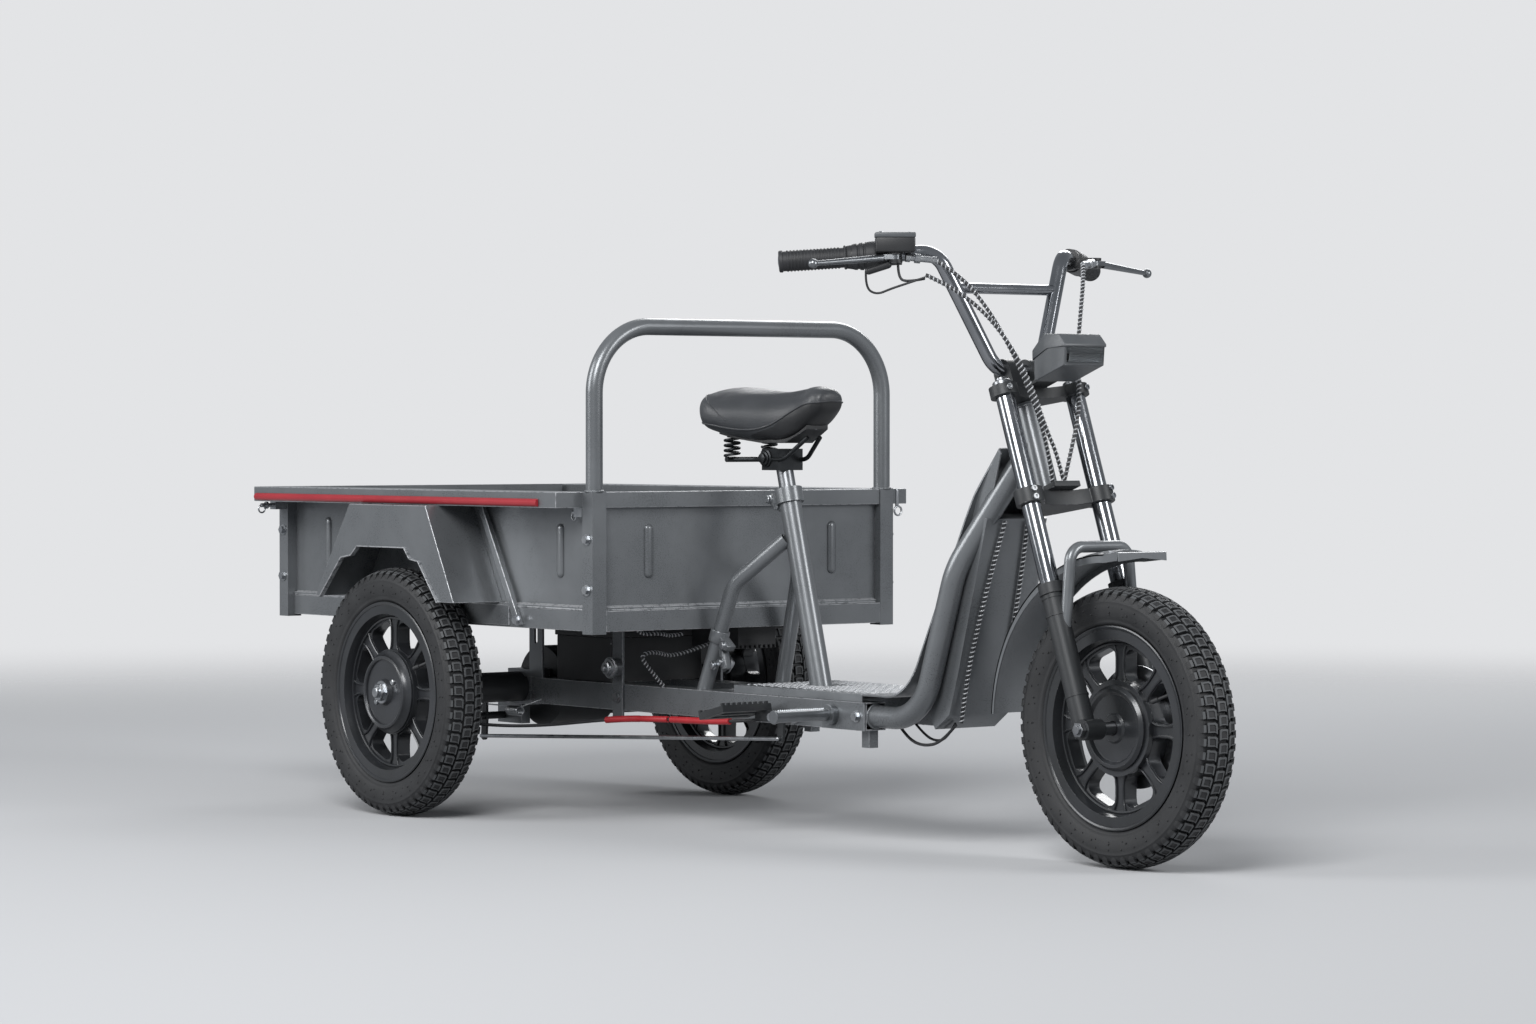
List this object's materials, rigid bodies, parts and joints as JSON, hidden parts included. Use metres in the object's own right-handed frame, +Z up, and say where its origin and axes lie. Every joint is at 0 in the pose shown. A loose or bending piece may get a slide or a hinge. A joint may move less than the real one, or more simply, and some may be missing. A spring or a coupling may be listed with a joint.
{
  "type": "cargo tricycle",
  "caption": "Electric cargo tricycle with an open tipping-gate box behind a sprung saddle, a telescopic fork, wide handlebar and cast wheels.",
  "frame": {"origin": "middle of the bounding box on the ground", "axes": "+X is the way it travels, +Y is its left, +Z is up"},
  "size_m": [2.2658, 0.868, 1.0286],
  "materials": {
    "grey_paint": "satin gunmetal paint",
    "dark_paint": "satin black paint",
    "black_casting": "gloss black paint on a casting",
    "tyre_rubber": "worn black rubber",
    "black_rubber": "matt black rubber",
    "black_plastic": "grained black plastic",
    "dark_chrome": "dark polished plating",
    "plain_steel": "machined steel",
    "zinc_plate": "zinc plating",
    "saddle_skin": "grained black leatherette",
    "lens": "clear lens",
    "red_strip": "red reflective strip",
    "red_sleeve": "red cable sleeve",
    "tread_plate": "raised tread plate, grey paint"
  },
  "bodies": {
    "frame": {"frame_beams": "grey_paint", "frame_fittings": "grey_paint", "down_tubes": "grey_paint", "head_tube": "grey_paint", "seat_tube": "grey_paint", "leg_shield_cover": "grey_paint", "leg_shield": "grey_paint", "cargo_base_frame": "grey_paint", "cargo_floor": "grey_paint", "box_panels": "grey_paint", "corner_posts": "grey_paint", "guard_hoop": "grey_paint", "top_rails": "grey_paint", "rear_mudguards": "grey_paint", "box_hangers": "grey_paint", "axle_housing": "dark_paint", "drive_motor": "dark_paint", "foot_pegs": "black_rubber", "shield_conduits": "black_rubber", "brake_cable": "black_rubber", "power_pack": "black_plastic", "fasteners": "zinc_plate", "return_spring": "zinc_plate", "side_strips": "red_strip", "cable_sleeves": "red_sleeve", "foot_platform": "tread_plate"},
    "tailgate": {"tailgate": "grey_paint"},
    "right_rear_latch_pin": {"right_rear_latch_pin": "zinc_plate"},
    "left_rear_latch_pin": {"left_rear_latch_pin": "zinc_plate"},
    "brake_pedal": {"brake_pedal": "dark_paint"},
    "brake_rod": {"brake_rod": "plain_steel"},
    "brake_cross_shaft": {"brake_cross_shaft": "dark_paint"},
    "saddle": {"seat_post": "dark_chrome", "saddle_cushion": "saddle_skin", "saddle_base": "black_plastic", "saddle_frame": "plain_steel"},
    "steering": {"lower_crown": "dark_paint", "upper_crown": "dark_paint", "stanchions": "dark_chrome", "handlebar": "dark_chrome", "left_grip": "black_rubber", "bar_controls": "black_plastic", "headlight_housing": "black_plastic", "headlight_lens": "lens", "control_cables": "black_rubber"},
    "throttle_grip": {"throttle_grip": "black_rubber"},
    "horn_button": {"horn_button": "red_strip"},
    "right_hand_lever": {"right_hand_lever": "dark_paint"},
    "left_hand_lever": {"left_hand_lever": "dark_paint"},
    "fork_lower": {"fork_sliders": "dark_paint", "front_axle": "plain_steel", "front_mudguard": "grey_paint", "fender_hoop": "grey_paint"},
    "front_wheel": {"front_tyre": "tyre_rubber", "front_wheel": "black_casting", "brake_disc": "plain_steel"},
    "rear_right_wheel": {"rear_right_tyre": "tyre_rubber", "rear_right_wheel": "black_casting"},
    "rear_left_wheel": {"rear_left_tyre": "tyre_rubber", "rear_left_wheel": "black_casting"}
  },
  "joints": [
    {"name": "tailgate_hinge", "type": "hinge", "parent": "frame", "child": "tailgate", "pos_m": [-1.12795, 0, 0.391], "axis": [0, -1, 0], "range_deg": [0, 180]},
    {"name": "right_latch_slide", "type": "slide", "parent": "frame", "child": "right_rear_latch_pin", "axis": [0, 1, 0], "range_m": [0, 0.012]},
    {"name": "left_latch_slide", "type": "slide", "parent": "frame", "child": "left_rear_latch_pin", "axis": [0, -1, 0], "range_m": [0, 0.012]},
    {"name": "brake_pedal_hinge", "type": "hinge", "parent": "frame", "child": "brake_pedal", "pos_m": [0.18745, -0.126, 0.214], "axis": [0, -1, 0], "range_deg": [0, 14], "stiffness_Nm_per_rad": 8, "springref_deg": -10.31, "deforming": ["return_spring"]},
    {"name": "brake_rod_slide", "type": "slide", "parent": "frame", "child": "brake_rod", "axis": [0.9988, 0, 0.0487], "range_m": [0, 0.00946]},
    {"name": "brake_cross_shaft_hinge", "type": "hinge", "parent": "frame", "child": "brake_cross_shaft", "pos_m": [-0.71455, 0, 0.17], "axis": [0, -1, 0], "range_deg": [0, 14.1], "deforming": ["return_spring"]},
    {"name": "saddle_slide", "type": "slide", "parent": "frame", "child": "saddle", "axis": [-0.2622, 0, 0.965], "range_m": [-0.012, 0.06]},
    {"name": "steering_hinge", "type": "hinge", "parent": "frame", "child": "steering", "pos_m": [0.6831, 0, 0.6893], "axis": [-0.342, 0, 0.9397], "range_deg": [-40, 40]},
    {"name": "throttle_twist", "type": "hinge", "parent": "steering", "child": "throttle_grip", "pos_m": [0.44285, -0.34, 0.9839], "axis": [-0.6017, -0.7962, -0.0638], "range_deg": [0, 70], "stiffness_Nm_per_rad": 0.3, "springref_deg": -17.19},
    {"name": "horn_press", "type": "slide", "parent": "steering", "child": "horn_button", "axis": [0.7978, 0.603, 0], "range_m": [0, 0.0025], "stiffness_N_per_m": 900, "springref_m": -0.0012},
    {"name": "right_lever_hinge", "type": "hinge", "parent": "steering", "child": "right_hand_lever", "pos_m": [0.58671, -0.21931, 0.9896], "axis": [0, 0, -1], "range_deg": [0, 20], "stiffness_Nm_per_rad": 3, "springref_deg": -8.59},
    {"name": "left_lever_hinge", "type": "hinge", "parent": "steering", "child": "left_hand_lever", "pos_m": [0.58671, 0.21931, 0.9896], "axis": [0, 0, 1], "range_deg": [0, 20], "stiffness_Nm_per_rad": 3, "springref_deg": -8.59},
    {"name": "fork_slide", "type": "slide", "parent": "steering", "child": "fork_lower", "axis": [-0.342, 0, 0.9397], "range_m": [0, 0.045], "stiffness_N_per_m": 12000, "springref_m": -0.055},
    {"name": "front_wheel_spin", "type": "hinge", "parent": "fork_lower", "child": "front_wheel", "pos_m": [0.90545, 0, 0.2275], "axis": [0, 1, 0], "continuous": true},
    {"name": "rear_right_wheel_spin", "type": "hinge", "parent": "frame", "child": "rear_right_wheel", "pos_m": [-0.64255, -0.378, 0.2275], "axis": [0, 1, 0], "continuous": true},
    {"name": "rear_left_wheel_spin", "type": "hinge", "parent": "frame", "child": "rear_left_wheel", "pos_m": [-0.64255, 0.378, 0.2275], "axis": [0, 1, 0], "continuous": true}
  ],
  "couplings": [
    {"joint": "brake_rod_slide", "follows": "brake_pedal_hinge", "m_per_rad": 0.037906},
    {"joint": "brake_cross_shaft_hinge", "follows": "brake_pedal_hinge", "ratio": 1}
  ]
}
